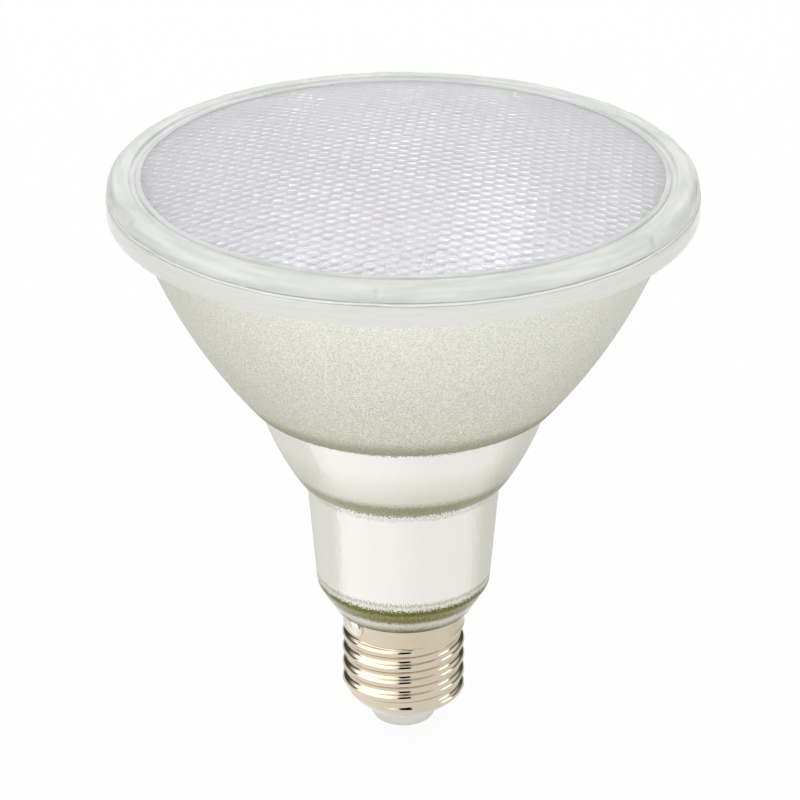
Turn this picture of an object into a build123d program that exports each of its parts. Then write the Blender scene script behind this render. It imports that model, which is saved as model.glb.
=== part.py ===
from build123d import *
import math
import os

# Reflector spot lamp with a screw cap. The axis is Z and the foot of the centre contact is the origin.
# Driving dimensions, in millimetres and degrees.

# Fits
FIT_CLEARANCE = 0.05
SEAT_CLEARANCE = 0.4
SMOOTH_MATCH = 0.001

# Screw cap with a round right-hand thread, E27 form
CONTACT_DIAMETER = 9.0
CONTACT_THICKNESS = 0.8
CONTACT_EDGE = 0.3
STEM_DIAMETER = 3.6
STEM_HEIGHT = 2.4
INSULATOR_HEIGHT = 4.6
INSULATOR_FOOT_DIAMETER = 11.8
INSULATOR_FOOT_EDGE = 1.2
INSULATOR_GRIP = 1.2
SHELL_MOUTH_DIAMETER = 19.2
SHELL_TAPER_HEIGHT = 2.8
SHELL_TAPER_CURVE = 7.0
SHELL_THREAD_HEIGHT = 14.4
SHELL_COLLAR_HEIGHT = 5.6
SHELL_COLLAR_DIAMETER = 26.0
SHELL_COLLAR_RISE = 0.6
SHELL_WALL = 0.35
THREAD_DIAMETER = 26.3
THREAD_PITCH = 3.629
THREAD_DEPTH = 1.1
RIDGE_WIDTH = 2.9
RIDGE_CREST_WIDTH = 1.6
RIDGE_ROOT_BITE = 0.2
RIDGE_RUN_IN = 1.6
SPIGOT_DIAMETER = 22.4
SPIGOT_WALL = 2.0

# Solder and mains leads
SOLDER_AZIMUTH = 220.0
SOLDER_RADIUS = 1.4
SOLDER_SINK = 0.2
NOTCH_WIDTH = 1.2
NOTCH_DEPTH = 1.6
MAINS_LEAD_DIAMETER = 1.0
MAINS_LEAD_BEND = 1.2

# Glass reflector
GLASS_WALL = 2.8
LIP_OVERHANG = 1.6
CONE_HEIGHT = 6.2
CONE_CORNER = 3.0
NECK_DIAMETER = 36.8
LOWER_NECK_HEIGHT = 25.0
LOWER_NECK_FLARE = 2.1
LOWER_STEP = 1.9
UPPER_NECK_HEIGHT = 18.3
UPPER_NECK_FLARE = 8.3
UPPER_NECK_CURVE = 62.0
UPPER_STEP = 2.1
STEP_RISE = 0.5
STEP_EDGE = 0.9
STEP_ROOT = 0.45
BOWL_HEIGHT = 40.3
BOWL_CURVE = 120.6
FLANGE_OVERHANG = 5.35
FLANGE_HEIGHT = 4.6
FLANGE_EDGE = 1.3

# Front lens and its seam
RIM_DIAMETER = 121.0
SEAM_HEIGHT = 0.4
SEAM_INSET = 0.5
LENS_INSET = 0.3
RIM_HEIGHT = 3.3
RIM_EDGE = 2.4
RIM_FOOT_EDGE = 0.5
BEAD_WIDTH = 4.3
GROOVE_WIDTH = 1.3
GROOVE_DEPTH = 0.8
DOME_LIP = 0.4
DOME_RISE = 5.4
LENS_THICKNESS = 3.0

# Light engine
SPREADER_THICKNESS = 2.0
SPREADER_SKIRT_HEIGHT = 10.0
SPREADER_SKIRT_WALL = 1.5
LED_BOARD_DIAMETER = 52.0
LED_BOARD_THICKNESS = 1.6
LEAD_HOLE_DIAMETER = 9.0
SCREW_DIAMETER = 3.0
SCREW_HEAD_DIAMETER = 5.5
SCREW_HEAD_HEIGHT = 1.8
SCREW_EDGE_MARGIN = 0.75
SCREW_SLOT_WIDTH = 0.8
SCREW_SLOT_DEPTH = 0.7
SCREW_COUNT = 3
CHIP_WIDTH = 3.0
CHIP_HEIGHT = 0.7
CHIP_RING_INSET = 4.5
CHIP_RING_STEP = 7.0
INNER_CHIP_COUNT = 6
OUTER_CHIP_COUNT = 12
LED_LEAD_DIAMETER = 1.2
LED_LEAD_BEND = 1.5
LED_LEAD_REACH = 3.0

# Driver in the neck
HOUSING_WALL = 1.2
HOUSING_FLOOR = 1.2
HOUSING_FLANGE = 1.5
HOUSING_HEADROOM = 1.0
GUIDE_THICKNESS = 1.0
GUIDE_REACH = 1.8
BOARD_THICKNESS = 1.6
BOARD_EDGE_GAP = 0.4
BOARD_MARGIN = 1.0
ROW_GAP = 1.0
LEAD_SPACING = 5.0
LEAD_OVERLAP = 5.0
BULK_CAPACITOR_DIAMETER = 8.0
BULK_CAPACITOR_LENGTH = 10.0
BULK_CAPACITOR_EDGE = 0.6
INPUT_CAPACITOR_WIDTH = 10.0
INPUT_CAPACITOR_DEPTH = 5.5
INPUT_CAPACITOR_LENGTH = 9.0
INPUT_CAPACITOR_EDGE = 0.5
CORE_DIAMETER = 9.0
CORE_LENGTH = 9.5
CORE_WAIST_DIAMETER = 4.5
CORE_FLANGE = 1.2
WINDING_INSET = 0.4
VARISTOR_DIAMETER = 7.0
VARISTOR_THICKNESS = 3.4
VARISTOR_STANDOFF = 1.2
VARISTOR_LEG_DIAMETER = 0.6
FUSE_DIAMETER = 3.6
FUSE_LENGTH = 9.0
FUSE_CAP_LENGTH = 1.6
FUSE_BODY_INSET = 0.3
INPUT_ROW_SPREAD = 4.8
RECTIFIER_WIDTH = 5.0
RECTIFIER_DEPTH = 4.0
RECTIFIER_HEIGHT = 2.4
CHIP_PACKAGE_WIDTH = 4.9
CHIP_PACKAGE_DEPTH = 3.9
CHIP_PACKAGE_HEIGHT = 1.5
LEG_LENGTH = 1.0
LEG_WIDTH = 0.45
LEG_THICKNESS = 0.25

# Heights up the axis
FOOT_Z = CONTACT_THICKNESS
MOUTH_Z = FOOT_Z + INSULATOR_HEIGHT
TAPER_Z = MOUTH_Z + SHELL_TAPER_HEIGHT
COLLAR_Z = TAPER_Z + SHELL_THREAD_HEIGHT
LIP_Z = COLLAR_Z + SHELL_COLLAR_HEIGHT
NECK_Z = LIP_Z + CONE_HEIGHT
LOWER_STEP_Z = NECK_Z + LOWER_NECK_HEIGHT
UPPER_NECK_Z = LOWER_STEP_Z + STEP_RISE
UPPER_STEP_Z = UPPER_NECK_Z + UPPER_NECK_HEIGHT
BOWL_Z = UPPER_STEP_Z + STEP_RISE
FLANGE_Z = BOWL_Z + BOWL_HEIGHT
SEAM_Z = FLANGE_Z + FLANGE_HEIGHT
LENS_Z = SEAM_Z + SEAM_HEIGHT
RIM_Z = LENS_Z + RIM_HEIGHT
GROOVE_Z = RIM_Z - GROOVE_DEPTH
DOME_Z = GROOVE_Z + DOME_LIP
APEX_Z = DOME_Z + DOME_RISE

# Outer radii of the glass
COLLAR_R = SHELL_COLLAR_DIAMETER / 2
LIP_R = COLLAR_R + LIP_OVERHANG
NECK_R = NECK_DIAMETER / 2
LOWER_STEP_R = NECK_R + LOWER_NECK_FLARE
UPPER_NECK_R = LOWER_STEP_R + LOWER_STEP
UPPER_STEP_R = UPPER_NECK_R + UPPER_NECK_FLARE
BOWL_R = UPPER_STEP_R + UPPER_STEP
RIM_R = RIM_DIAMETER / 2
BOWL_TOP_R = RIM_R - FLANGE_OVERHANG
SPIGOT_R = SPIGOT_DIAMETER / 2
BORE_R = SPIGOT_R - SPIGOT_WALL

# Radii of the shell
THREAD_R = THREAD_DIAMETER / 2
ROOT_R = THREAD_R - THREAD_DEPTH
MOUTH_R = SHELL_MOUTH_DIAMETER / 2
MAINS_LEAD_R = MAINS_LEAD_DIAMETER / 2
SPIGOT_Z = COLLAR_Z + SHELL_COLLAR_RISE + MAINS_LEAD_DIAMETER + 2 * SEAT_CLEARANCE

# Radii of the lens
LENS_R = RIM_R - LENS_INSET
BEAD_R = LENS_R - BEAD_WIDTH
DOME_R = BEAD_R - GROOVE_WIDTH
DOME_CURVE = (DOME_R ** 2 + DOME_RISE ** 2) / (2 * DOME_RISE)
DOME_CENTER_Z = APEX_Z - DOME_CURVE


def arc_center(start, end, radius):
    """Centre of the arc that bulges away from the axis on its way up from start to end."""
    chord_r = end[0] - start[0]
    chord_z = end[1] - start[1]
    chord = math.hypot(chord_r, chord_z)
    height = math.sqrt(radius ** 2 - (chord / 2) ** 2)
    middle_r = (start[0] + end[0]) / 2
    middle_z = (start[1] + end[1]) / 2
    return middle_r - height * chord_z / chord, middle_z + height * chord_r / chord


def arc_radius_at(center, curve, z):
    """Distance from the axis of an arc's outer side at a height."""
    return center[0] + math.sqrt(curve ** 2 - (z - center[1]) ** 2)


BOWL_CENTER = arc_center((BOWL_R, BOWL_Z), (BOWL_TOP_R, FLANGE_Z), BOWL_CURVE)
UPPER_NECK_CENTER = arc_center((UPPER_NECK_R, UPPER_NECK_Z), (UPPER_STEP_R, UPPER_STEP_Z), UPPER_NECK_CURVE)
TAPER_CENTER = arc_center((MOUTH_R, MOUTH_Z), (ROOT_R, TAPER_Z), SHELL_TAPER_CURVE)


def bowl_inside(z):
    """Inner radius of the bowl at a height."""
    return arc_radius_at(BOWL_CENTER, BOWL_CURVE - GLASS_WALL, z)


def upper_neck_inside(z):
    """Inner radius of the upper neck at a height."""
    return arc_radius_at(UPPER_NECK_CENTER, UPPER_NECK_CURVE - GLASS_WALL, z)


def lower_neck_inside(z):
    """Inner radius of the lower neck at a height."""
    return NECK_R + LOWER_NECK_FLARE * (z - NECK_Z) / LOWER_NECK_HEIGHT - GLASS_WALL


def lens_inside(radius):
    """Height of the lens's hollow face at a radius."""
    return DOME_CENTER_Z + math.sqrt((DOME_CURVE - LENS_THICKNESS) ** 2 - radius ** 2)


# Ledges inside the glass, one wall above the steps outside
LOWER_LEDGE_Z = LOWER_STEP_Z + GLASS_WALL
UPPER_LEDGE_Z = UPPER_STEP_Z + GLASS_WALL
NECK_FLOOR_Z = NECK_Z + GLASS_WALL

# Light engine, stacked on the upper ledge
SPREADER_TOP_Z = UPPER_LEDGE_Z + SPREADER_THICKNESS
LED_BOARD_TOP_Z = SPREADER_TOP_Z + LED_BOARD_THICKNESS
LED_BOARD_R = LED_BOARD_DIAMETER / 2
SCREW_CIRCLE_R = LED_BOARD_R - SCREW_HEAD_DIAMETER / 2 - SCREW_EDGE_MARGIN
OUTER_CHIP_RING_R = SCREW_CIRCLE_R - CHIP_RING_INSET
INNER_CHIP_RING_R = OUTER_CHIP_RING_R - CHIP_RING_STEP

# Driver, its housing on the neck's inner floor and its board in rows of pieces
HOUSING_R = lower_neck_inside(NECK_FLOOR_Z) - SEAT_CLEARANCE
HOUSING_BORE_R = HOUSING_R - HOUSING_WALL
BOARD_FOOT_Z = NECK_FLOOR_Z + HOUSING_FLOOR
INPUT_ROW = max(VARISTOR_DIAMETER, FUSE_DIAMETER)
INPUT_ROW_Z = BOARD_FOOT_Z + BOARD_MARGIN + INPUT_ROW / 2
CAPACITOR_ROW_Z = INPUT_ROW_Z + INPUT_ROW / 2 + ROW_GAP + INPUT_CAPACITOR_DEPTH / 2
CORE_ROW_Z = CAPACITOR_ROW_Z + INPUT_CAPACITOR_DEPTH / 2 + ROW_GAP + CORE_DIAMETER / 2
BULK_ROW_Z = CORE_ROW_Z + CORE_DIAMETER / 2 + ROW_GAP + BULK_CAPACITOR_DIAMETER / 2
BOARD_TOP_Z = BULK_ROW_Z + BULK_CAPACITOR_DIAMETER / 2 + BOARD_MARGIN
HOUSING_TOP_Z = BOARD_TOP_Z + HOUSING_HEADROOM
BOARD_HALF_WIDTH = HOUSING_BORE_R - BOARD_EDGE_GAP
BOARD_FACE = BOARD_THICKNESS / 2
FRONT = -1
BACK = 1


def at(radius, z):
    """Point of a section in the half plane through the axis and +X."""
    return (radius, 0, z)


def outline(points):
    """Straight edges through a list of radius and height pairs."""
    return Polyline(*[at(radius, z) for radius, z in points]).edges()


def arc_on(center, curve, start_z, end_z):
    """Section arc of given centre and radius between two heights."""
    middle_z = (start_z + end_z) / 2
    stops = [(arc_radius_at(center, curve, z), z) for z in (start_z, middle_z, end_z)]
    return ThreePointArc(*[at(radius, z) for radius, z in stops]).edges()


def dome_arc(curve, start_r, end_r):
    """Section arc of a sphere about the dome's centre between two radii."""
    middle_r = (start_r + end_r) / 2
    stops = [(r, DOME_CENTER_Z + math.sqrt(curve ** 2 - r ** 2)) for r in (start_r, middle_r, end_r)]
    return ThreePointArc(*[at(radius, z) for radius, z in stops]).edges()


def turned(*runs):
    """Solid of revolution about the axis from runs of edges that close a section."""
    edges = [edge for run in runs for edge in run]
    return revolve(make_face(edges), axis=Axis.Z)


def turned_outline(points):
    """Solid of revolution of a section with straight sides only."""
    return turned(outline(points + points[:1]))


def rings(solid, radius, z):
    """Circular edges of a turned solid at a radius and height."""
    found = solid.edges().filter_by(GeomType.CIRCLE)
    found = found.filter_by(lambda edge: abs(edge.radius - radius) < SMOOTH_MATCH)
    return found.filter_by(lambda edge: abs(edge.arc_center.Z - z) < SMOOTH_MATCH)


def upright(radius, foot, top):
    """Solid cylinder on the axis between two heights."""
    return Pos(0, 0, foot) * Cylinder(radius, top - foot, align=(Align.CENTER, Align.CENTER, Align.MIN))


def around(count, radius, offset=0.0):
    """Places on a circle about the axis, each turned to face outwards."""
    return [Rot(0, 0, offset + 360 * i / count) * Pos(radius, 0, 0) for i in range(count)]


def wire(points, bends, diameter):
    """Round lead along straight runs with tangent bends."""
    path = FilletPolyline(*points, radius=bends)
    section = Plane(origin=path @ 0, z_dir=path % 0) * Circle(diameter / 2)
    return sweep(section, path=path)


def on_board(piece, side, across, z):
    """Stand a piece that was made foot down on a face of the driver board."""
    return Pos(across, side * BOARD_FACE, z) * Rot(-90 * side, 0, 0) * piece


def standing_box(width, depth, height):
    """Box that stands with the middle of its foot at the origin."""
    return Pos(0, 0, height / 2) * Box(width, depth, height)


def reflector_body():
    """Pressed glass: spigot, lip, cone, two stepped necks, bowl and flange, hollow throughout."""
    lower_ledge_inner = lower_neck_inside(LOWER_LEDGE_Z)
    upper_ledge_inner = upper_neck_inside(UPPER_LEDGE_Z)
    foot = [
        (BORE_R, LIP_Z + GLASS_WALL),
        (BORE_R, SPIGOT_Z),
        (SPIGOT_R, SPIGOT_Z),
        (SPIGOT_R, LIP_Z),
        (LIP_R, LIP_Z),
        (NECK_R, NECK_Z),
        (LOWER_STEP_R, LOWER_STEP_Z),
        (UPPER_NECK_R, UPPER_NECK_Z),
    ]
    upper_step = [(UPPER_STEP_R, UPPER_STEP_Z), (BOWL_R, BOWL_Z)]
    flange = [
        (BOWL_TOP_R, FLANGE_Z),
        (RIM_R, FLANGE_Z),
        (RIM_R, SEAM_Z),
        (bowl_inside(SEAM_Z), SEAM_Z),
    ]
    upper_ledge = [(bowl_inside(UPPER_LEDGE_Z), UPPER_LEDGE_Z), (upper_ledge_inner, UPPER_LEDGE_Z)]
    neck_inside = [
        (upper_neck_inside(LOWER_LEDGE_Z), LOWER_LEDGE_Z),
        (lower_ledge_inner, LOWER_LEDGE_Z),
        (lower_neck_inside(NECK_FLOOR_Z), NECK_FLOOR_Z),
        foot[0],
    ]
    glass = turned(
        outline(foot),
        arc_on(UPPER_NECK_CENTER, UPPER_NECK_CURVE, UPPER_NECK_Z, UPPER_STEP_Z),
        outline(upper_step),
        arc_on(BOWL_CENTER, BOWL_CURVE, BOWL_Z, FLANGE_Z),
        outline(flange),
        arc_on(BOWL_CENTER, BOWL_CURVE - GLASS_WALL, SEAM_Z, UPPER_LEDGE_Z),
        outline(upper_ledge),
        arc_on(UPPER_NECK_CENTER, UPPER_NECK_CURVE - GLASS_WALL, UPPER_LEDGE_Z, LOWER_LEDGE_Z),
        outline(neck_inside),
    )
    glass = fillet(rings(glass, NECK_R, NECK_Z), CONE_CORNER)
    glass = fillet(rings(glass, UPPER_NECK_R, UPPER_NECK_Z) + rings(glass, BOWL_R, BOWL_Z), STEP_EDGE)
    roots = rings(glass, LOWER_STEP_R, LOWER_STEP_Z) + rings(glass, UPPER_STEP_R, UPPER_STEP_Z)
    glass = fillet(roots, STEP_ROOT)
    return fillet(rings(glass, RIM_R, FLANGE_Z), FLANGE_EDGE)


def front_lens():
    """Pressed glass: domed window with a groove round it, a bead and a rounded rim."""
    hollow_r = math.sqrt((DOME_CURVE - LENS_THICKNESS) ** 2 - (LENS_Z - DOME_CENTER_Z) ** 2)
    rim = [
        (hollow_r, LENS_Z),
        (LENS_R, LENS_Z),
        (LENS_R, RIM_Z),
        (BEAD_R, RIM_Z),
        (BEAD_R - (RIM_Z - GROOVE_Z) / 2, GROOVE_Z),
        (DOME_R, GROOVE_Z),
        (DOME_R, DOME_Z),
    ]
    axis_run = [(0, APEX_Z), (0, lens_inside(0))]
    glass = turned(
        outline(rim),
        dome_arc(DOME_CURVE, DOME_R, 0),
        outline(axis_run),
        dome_arc(DOME_CURVE - LENS_THICKNESS, 0, hollow_r),
    )
    glass = fillet(rings(glass, LENS_R, RIM_Z), RIM_EDGE)
    return fillet(rings(glass, LENS_R, LENS_Z), RIM_FOOT_EDGE)


def lens_seal():
    """Adhesive ring that fills the seam under the lens, a little short of the rim."""
    inner_r = bowl_inside(SEAM_Z) + SEAM_INSET
    outer_r = LENS_R - SEAM_INSET
    return upright(outer_r, SEAM_Z, LENS_Z) - upright(inner_r, SEAM_Z, LENS_Z)


def shell_ridge():
    """Rounded ridge of the thread, from the top of the taper to the foot of the collar."""
    half_width = RIDGE_WIDTH / 2
    half_crest = RIDGE_CREST_WIDTH / 2
    climb = SHELL_THREAD_HEIGHT - half_width
    shoulder_r = ROOT_R + THREAD_DEPTH / 2
    foot_r = ROOT_R - RIDGE_ROOT_BITE
    flanks = outline([
        (shoulder_r, half_crest),
        (foot_r, half_width),
        (foot_r, -half_width),
        (shoulder_r, -half_crest),
    ])
    crest = ThreePointArc(at(shoulder_r, -half_crest), at(THREAD_R, 0), at(shoulder_r, half_crest)).edges()
    path = Helix(pitch=THREAD_PITCH, height=climb, radius=ROOT_R)
    ridge = sweep(make_face(flanks + crest), path=path, is_frenet=True)
    return Pos(0, 0, TAPER_Z) * ridge


def shell_form(inset):
    """Turned form of the shell without its thread, full to the axis and shrunk by an inset."""
    curve = SHELL_TAPER_CURVE - inset
    mouth_r = arc_radius_at(TAPER_CENTER, curve, MOUTH_Z)
    taper_top_r = arc_radius_at(TAPER_CENTER, curve, TAPER_Z)
    return turned(
        outline([(0, LIP_Z), (0, MOUTH_Z), (mouth_r, MOUTH_Z)]),
        arc_on(TAPER_CENTER, curve, MOUTH_Z, TAPER_Z),
        outline([
            (taper_top_r, TAPER_Z),
            (ROOT_R - inset, COLLAR_Z),
            (COLLAR_R - inset, COLLAR_Z + SHELL_COLLAR_RISE),
            (COLLAR_R - inset, LIP_Z),
            (0, LIP_Z),
        ]),
    )


def screw_shell():
    """Rolled shell: mouth, taper, thread, collar and the notch that the neutral lead comes out of."""
    reach_r = THREAD_R + THREAD_DEPTH
    envelope = turned_outline([
        (0, TAPER_Z),
        (ROOT_R, TAPER_Z),
        (reach_r, TAPER_Z + RIDGE_RUN_IN),
        (reach_r, LIP_Z),
        (0, LIP_Z),
    ])
    shell = shell_form(0) + (shell_ridge() & envelope) - shell_form(SHELL_WALL)
    notch = Pos(COLLAR_R, 0, LIP_Z - NOTCH_DEPTH) * standing_box(2 * SOLDER_RADIUS, NOTCH_WIDTH, NOTCH_DEPTH)
    return shell - Rot(0, 0, SOLDER_AZIMUTH) * notch


def cap_insulator():
    """White insulator: a foot below the shell and a body held in its taper."""
    hole_r = STEM_DIAMETER / 2 + FIT_CLEARANCE
    foot_r = INSULATOR_FOOT_DIAMETER / 2
    top_z = TAPER_Z + INSULATOR_GRIP
    inset = SHELL_WALL + FIT_CLEARANCE
    mouth_r = arc_radius_at(TAPER_CENTER, SHELL_TAPER_CURVE - inset, MOUTH_Z)
    foot = turned_outline([(0, FOOT_Z), (foot_r, FOOT_Z), (mouth_r, MOUTH_Z), (0, MOUTH_Z)])
    foot = fillet(rings(foot, foot_r, FOOT_Z), INSULATOR_FOOT_EDGE)
    body = shell_form(inset) & upright(THREAD_R, MOUTH_Z, top_z)
    return foot + body - upright(hole_r, FOOT_Z, top_z)


def center_contact():
    """Contact disc under the insulator with the stem that takes the live lead."""
    disc = upright(CONTACT_DIAMETER / 2, 0, CONTACT_THICKNESS)
    disc = fillet(rings(disc, CONTACT_DIAMETER / 2, 0), CONTACT_EDGE)
    return disc + upright(STEM_DIAMETER / 2, 0, CONTACT_THICKNESS + STEM_HEIGHT)


def cap_cement():
    """Cement between the collar and the glass spigot, with a channel for the neutral lead."""
    outer_r = COLLAR_R - SHELL_WALL - FIT_CLEARANCE
    inner_r = SPIGOT_R + FIT_CLEARANCE
    ring = upright(outer_r, SPIGOT_Z, LIP_Z) - upright(inner_r, SPIGOT_Z, LIP_Z)
    width = MAINS_LEAD_DIAMETER + 2 * SEAT_CLEARANCE
    channel = Pos(COLLAR_R, 0, SPIGOT_Z) * standing_box(COLLAR_R, width, LIP_Z - SPIGOT_Z)
    return ring - Rot(0, 0, SOLDER_AZIMUTH) * channel


def neutral_rise_r():
    """Distance from the axis of the neutral lead where it climbs inside the collar."""
    return COLLAR_R - SHELL_WALL - FIT_CLEARANCE - MAINS_LEAD_R


def shell_solder():
    """Solder bead on the collar's edge, with its root in the notch against the neutral lead."""
    bead_z = LIP_Z - FIT_CLEARANCE - SOLDER_RADIUS
    bead = Pos(COLLAR_R - SOLDER_SINK, 0, bead_z) * Sphere(SOLDER_RADIUS)
    bead = bead - upright(COLLAR_R, MOUTH_Z, APEX_Z)
    root_start = neutral_rise_r() + MAINS_LEAD_R + FIT_CLEARANCE / 2
    root_end = COLLAR_R + SOLDER_RADIUS / 2
    root_height = NOTCH_DEPTH - 2 * FIT_CLEARANCE
    root_size = (root_end - root_start, NOTCH_WIDTH - 2 * FIT_CLEARANCE, root_height)
    root = Pos((root_start + root_end) / 2, 0, LIP_Z - NOTCH_DEPTH / 2) * Box(*root_size)
    return Rot(0, 0, SOLDER_AZIMUTH) * (bead + root)


def neutral_lead():
    """Lead from the driver board, under the glass spigot and up inside the collar to the solder."""
    board_y = BACK * (BOARD_FACE + MAINS_LEAD_R + FIT_CLEARANCE)
    drop_r = BORE_R - MAINS_LEAD_R - SEAT_CLEARANCE
    turn_z = SPIGOT_Z - SEAT_CLEARANCE - MAINS_LEAD_R
    east = math.cos(math.radians(SOLDER_AZIMUTH))
    north = math.sin(math.radians(SOLDER_AZIMUTH))
    rise_r = neutral_rise_r()
    points = [
        (-LEAD_SPACING / 2, board_y, BOARD_FOOT_Z + LEAD_OVERLAP),
        (-LEAD_SPACING / 2, board_y, NECK_FLOOR_Z),
        (drop_r * east, drop_r * north, LIP_Z),
        (drop_r * east, drop_r * north, turn_z),
        (rise_r * east, rise_r * north, turn_z),
        (rise_r * east, rise_r * north, LIP_Z - FIT_CLEARANCE),
    ]
    wide_bend = 2 * MAINS_LEAD_BEND
    return wire(points, [wide_bend, wide_bend, MAINS_LEAD_BEND, MAINS_LEAD_BEND], MAINS_LEAD_DIAMETER)


def live_lead():
    """Lead from the driver board down the axis to the contact's stem."""
    board_y = BACK * (BOARD_FACE + MAINS_LEAD_R + FIT_CLEARANCE)
    wide_bend = 4 * MAINS_LEAD_BEND
    points = [
        (LEAD_SPACING / 2, board_y, BOARD_FOOT_Z + LEAD_OVERLAP),
        (LEAD_SPACING / 2, board_y, NECK_FLOOR_Z - wide_bend),
        (0, 0, COLLAR_Z),
        (0, 0, CONTACT_THICKNESS + STEM_HEIGHT),
    ]
    return wire(points, [wide_bend, wide_bend], MAINS_LEAD_DIAMETER)


def led_lead(side):
    """Lead from the driver board up through the middle of the light engine to its pad."""
    radius = LED_LEAD_DIAMETER / 2
    board_y = BACK * (BOARD_FACE + radius + FIT_CLEARANCE)
    pad_z = LED_BOARD_TOP_Z + radius + FIT_CLEARANCE
    points = [
        (side * LEAD_SPACING / 2, board_y, BOARD_TOP_Z - LEAD_OVERLAP),
        (side * LEAD_SPACING / 2, board_y, pad_z),
        (side * (LEAD_HOLE_DIAMETER / 2 + LED_LEAD_REACH), board_y, pad_z),
    ]
    return wire(points, [LED_LEAD_BEND], LED_LEAD_DIAMETER)


def heat_spreader():
    """Spun aluminium dish on the upper ledge, with a skirt into the neck and holes for leads and screws."""
    skirt_z = UPPER_LEDGE_Z - SPREADER_SKIRT_HEIGHT
    skirt_r = upper_neck_inside(skirt_z) - SEAT_CLEARANCE
    dish = upright(bowl_inside(UPPER_LEDGE_Z) - SEAT_CLEARANCE, UPPER_LEDGE_Z, SPREADER_TOP_Z)
    skirt = upright(skirt_r, skirt_z, UPPER_LEDGE_Z)
    skirt = skirt - upright(skirt_r - SPREADER_SKIRT_WALL, skirt_z, UPPER_LEDGE_Z)
    dish = dish + skirt - upright(LEAD_HOLE_DIAMETER / 2, skirt_z, SPREADER_TOP_Z)
    return dish - screw_holes()


def screw_holes():
    """Clear holes for the board's screws through the board and the dish."""
    hole = upright(SCREW_DIAMETER / 2 + FIT_CLEARANCE, UPPER_LEDGE_Z, LED_BOARD_TOP_Z)
    return [place * hole for place in around(SCREW_COUNT, SCREW_CIRCLE_R)]


def led_board():
    """Round metal-core board with a lead hole in the middle."""
    disc = upright(LED_BOARD_R, SPREADER_TOP_Z, LED_BOARD_TOP_Z)
    return disc - upright(LEAD_HOLE_DIAMETER / 2, SPREADER_TOP_Z, LED_BOARD_TOP_Z) - screw_holes()


def led_chips():
    """Square light-emitting packages in two rings on the board."""
    chip = Pos(0, 0, LED_BOARD_TOP_Z) * standing_box(CHIP_WIDTH, CHIP_WIDTH, CHIP_HEIGHT)
    inner = around(INNER_CHIP_COUNT, INNER_CHIP_RING_R, 180 / INNER_CHIP_COUNT)
    outer = around(OUTER_CHIP_COUNT, OUTER_CHIP_RING_R, 180 / OUTER_CHIP_COUNT)
    return Compound([place * chip for place in inner + outer])


def board_screws():
    """Slotted pan-head screws through the board into the dish."""
    head_top = LED_BOARD_TOP_Z + SCREW_HEAD_HEIGHT
    head = upright(SCREW_HEAD_DIAMETER / 2, LED_BOARD_TOP_Z, head_top)
    head = fillet(rings(head, SCREW_HEAD_DIAMETER / 2, head_top), SCREW_HEAD_HEIGHT / 2)
    slot = Pos(0, 0, head_top) * Box(SCREW_HEAD_DIAMETER, SCREW_SLOT_WIDTH, 2 * SCREW_SLOT_DEPTH)
    screw = head + upright(SCREW_DIAMETER / 2, UPPER_LEDGE_Z, LED_BOARD_TOP_Z) - slot
    return Compound([place * screw for place in around(SCREW_COUNT, SCREW_CIRCLE_R)])


def driver_housing():
    """Plastic cup hung by its flange from the lower ledge, with guides for the driver board."""
    flange_top = LOWER_LEDGE_Z + HOUSING_FLANGE
    cup = upright(HOUSING_R, NECK_FLOOR_Z, HOUSING_TOP_Z)
    cup = cup + upright(upper_neck_inside(LOWER_LEDGE_Z) - SEAT_CLEARANCE, LOWER_LEDGE_Z, flange_top)
    cup = cup - upright(HOUSING_BORE_R, BOARD_FOOT_Z, HOUSING_TOP_Z)
    cup = cup - upright(LEAD_HOLE_DIAMETER / 2, NECK_FLOOR_Z, BOARD_FOOT_Z)
    guide_y = BOARD_FACE + FIT_CLEARANCE + GUIDE_THICKNESS / 2
    guide_x = HOUSING_BORE_R - GUIDE_REACH / 2
    guide = standing_box(GUIDE_REACH + HOUSING_WALL, GUIDE_THICKNESS, BOARD_TOP_Z - BOARD_FOOT_Z)
    guides = [Pos(x, y, BOARD_FOOT_Z) * guide for x in (-guide_x, guide_x) for y in (-guide_y, guide_y)]
    return cup + guides


def driver_board():
    """Circuit board that stands on the housing's floor between its guides."""
    height = BOARD_TOP_Z - BOARD_FOOT_Z
    return Pos(0, 0, BOARD_FOOT_Z) * standing_box(2 * BOARD_HALF_WIDTH, BOARD_THICKNESS, height)


def bulk_capacitor():
    """Electrolytic can with a rounded top."""
    radius = BULK_CAPACITOR_DIAMETER / 2
    can = upright(radius, 0, BULK_CAPACITOR_LENGTH)
    can = fillet(rings(can, radius, BULK_CAPACITOR_LENGTH), BULK_CAPACITOR_EDGE)
    return on_board(can, FRONT, 0, BULK_ROW_Z)


def input_capacitor():
    """Boxed film capacitor with rounded edges."""
    box = standing_box(INPUT_CAPACITOR_WIDTH, INPUT_CAPACITOR_DEPTH, INPUT_CAPACITOR_LENGTH)
    box = fillet(box.edges().filter_by(Axis.Z), INPUT_CAPACITOR_EDGE)
    return on_board(box, FRONT, 0, CAPACITOR_ROW_Z)


def inductor_core():
    """Drum core with two flanges."""
    radius = CORE_DIAMETER / 2
    waist = CORE_WAIST_DIAMETER / 2
    drum = turned_outline([
        (0, 0),
        (radius, 0),
        (radius, CORE_FLANGE),
        (waist, CORE_FLANGE),
        (waist, CORE_LENGTH - CORE_FLANGE),
        (radius, CORE_LENGTH - CORE_FLANGE),
        (radius, CORE_LENGTH),
        (0, CORE_LENGTH),
    ])
    return on_board(drum, FRONT, 0, CORE_ROW_Z)


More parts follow.
